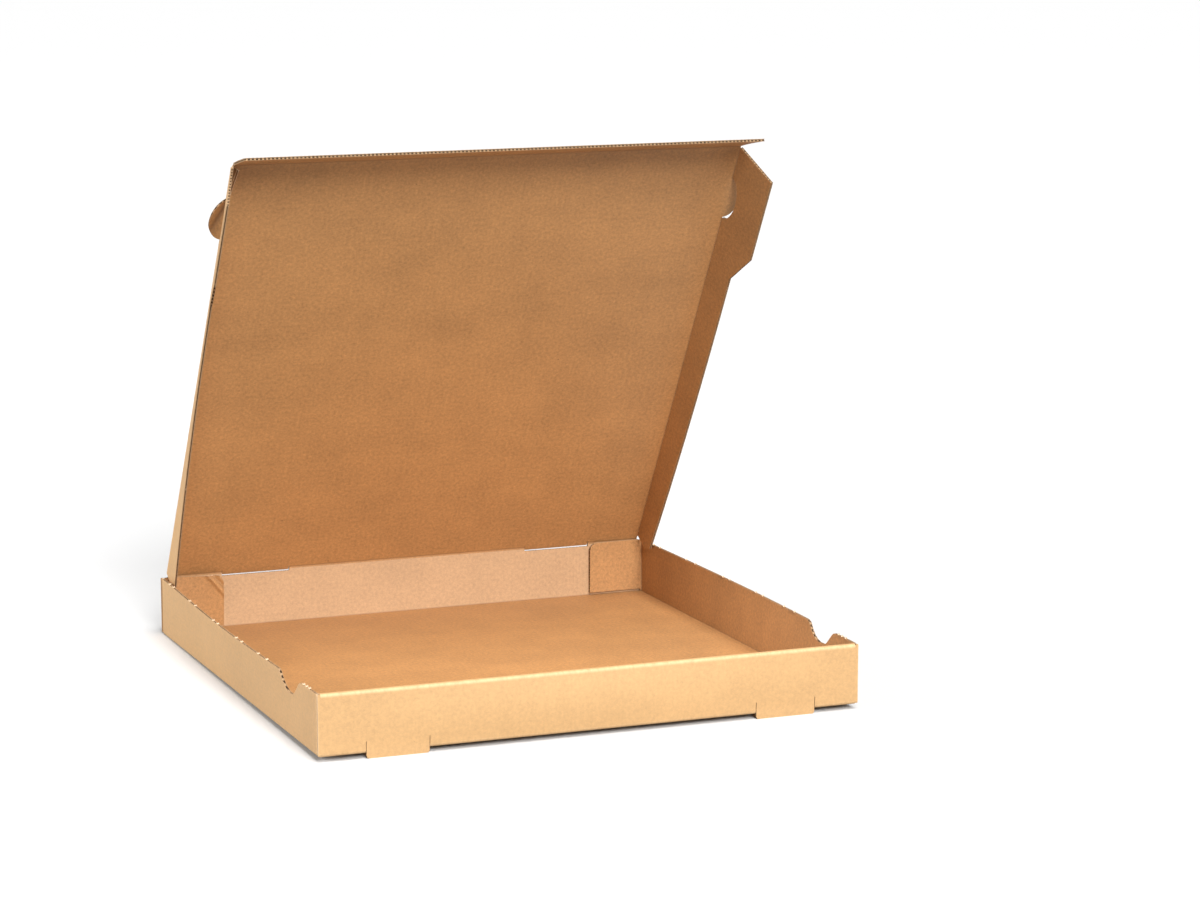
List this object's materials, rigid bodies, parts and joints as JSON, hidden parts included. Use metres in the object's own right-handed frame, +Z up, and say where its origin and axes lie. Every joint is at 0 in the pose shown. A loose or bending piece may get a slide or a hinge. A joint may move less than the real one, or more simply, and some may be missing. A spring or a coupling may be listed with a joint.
{
  "type": "pizza box",
  "caption": "Square folded corrugated pizza box standing open: tray with rolled front wall, feet and finger notches, hinged lid with ears and three sprung flaps.",
  "frame": {"origin": "centre of the open box's footprint, on the surface that its two feet stand on", "axes": "+X to the right along the hinge, seen from the front; +Y from the front wall to the back wall; +Z up"},
  "size_m": [0.3436, 0.331, 0.3239],
  "materials": {
    "kraft_board": "matt brown kraft corrugated board"
  },
  "bodies": {
    "tray": {"tray": "kraft_board"},
    "lid": {"lid": "kraft_board"},
    "left_flap": {"left_flap": "kraft_board"},
    "right_flap": {"right_flap": "kraft_board"},
    "front_flap": {"front_flap": "kraft_board"}
  },
  "joints": [
    {"name": "lid_hinge", "type": "hinge", "parent": "tray", "child": "lid", "pos_m": [0, 0.16304, 0.04], "axis": [-1, 0, 0], "range_deg": [-59, 51]},
    {"name": "left_flap_fold", "type": "hinge", "parent": "lid", "child": "left_flap", "pos_m": [-0.1604, 0.16304, 0.04], "axis": [0, -0.515, 0.8572], "range_deg": [-15.7, 18.1]},
    {"name": "right_flap_fold", "type": "hinge", "parent": "lid", "child": "right_flap", "pos_m": [0.1604, 0.16304, 0.04], "axis": [0, 0.515, -0.8572], "range_deg": [-15.7, 18.1]},
    {"name": "front_flap_fold", "type": "hinge", "parent": "lid", "child": "front_flap", "pos_m": [0, -0.0027, 0.31584], "axis": [1, 0, 0], "range_deg": [-43.5, 50.3]}
  ],
  "couplings": [
    {"joint": "left_flap_fold", "follows": "lid_hinge", "ratio": -0.305},
    {"joint": "right_flap_fold", "follows": "lid_hinge", "ratio": -0.305},
    {"joint": "front_flap_fold", "follows": "lid_hinge", "ratio": -0.85}
  ]
}
